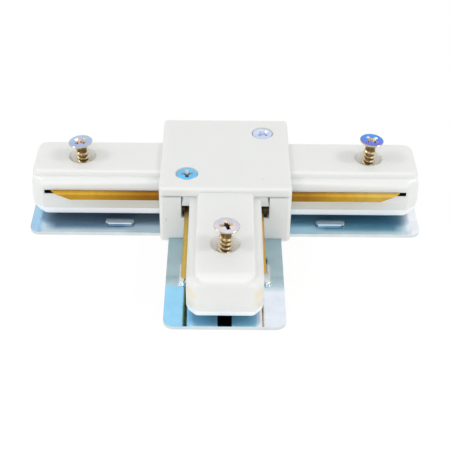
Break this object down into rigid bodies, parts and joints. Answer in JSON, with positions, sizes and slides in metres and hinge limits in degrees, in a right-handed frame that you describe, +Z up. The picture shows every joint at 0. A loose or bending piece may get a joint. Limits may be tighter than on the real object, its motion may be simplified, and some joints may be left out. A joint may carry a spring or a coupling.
{
  "type": "lighting track connector",
  "caption": "T-shaped connector for two-wire lighting track: square junction box, plug-in arms with brass contact leaves and jack screws, flat plated steel base.",
  "frame": {"origin": "centre of the junction box on the underside of the base plate", "axes": "+X towards the right arm's end, +Y away from the front arm, +Z up towards the cover"},
  "size_m": [0.1062, 0.0706, 0.0219],
  "materials": {
    "white_plastic": "satin gloss moulding",
    "brass": "bright rolled strip",
    "plated_sheet": "bright zinc plate",
    "screw_steel": "bright plated",
    "insulating_sheet": "matt"
  },
  "bodies": {
    "connector": {"junction_box": "white_plastic", "top_cover": "white_plastic", "base_plate": "plated_sheet", "arm_left": "white_plastic", "arm_right": "white_plastic", "arm_front": "white_plastic", "leaf_left_front": "brass", "leaf_left_rear": "brass", "leaf_right_front": "brass", "leaf_right_rear": "brass", "leaf_front_left": "brass", "leaf_front_right": "brass", "live_link": "brass", "neutral_link": "brass", "link_insulator": "insulating_sheet", "live_rivets": "brass", "neutral_rivets": "brass", "cover_screw_front": "screw_steel", "cover_screw_rear": "screw_steel"},
    "left_screw": {"clamp_screw_left": "screw_steel"},
    "right_screw": {"clamp_screw_right": "screw_steel"},
    "front_screw": {"clamp_screw_front": "screw_steel"}
  },
  "joints": [
    {"name": "left_screw_travel", "type": "slide", "parent": "connector", "child": "left_screw", "axis": [0.0698, 0, -0.9976], "range_m": [-0.0024, 0.0064]},
    {"name": "right_screw_travel", "type": "slide", "parent": "connector", "child": "right_screw", "axis": [-0.061, 0, -0.9981], "range_m": [-0.0012, 0.0075]},
    {"name": "front_screw_travel", "type": "slide", "parent": "connector", "child": "front_screw", "axis": [-0.0558, 0, -0.9984], "range_m": [-0.0015, 0.0073]}
  ]
}
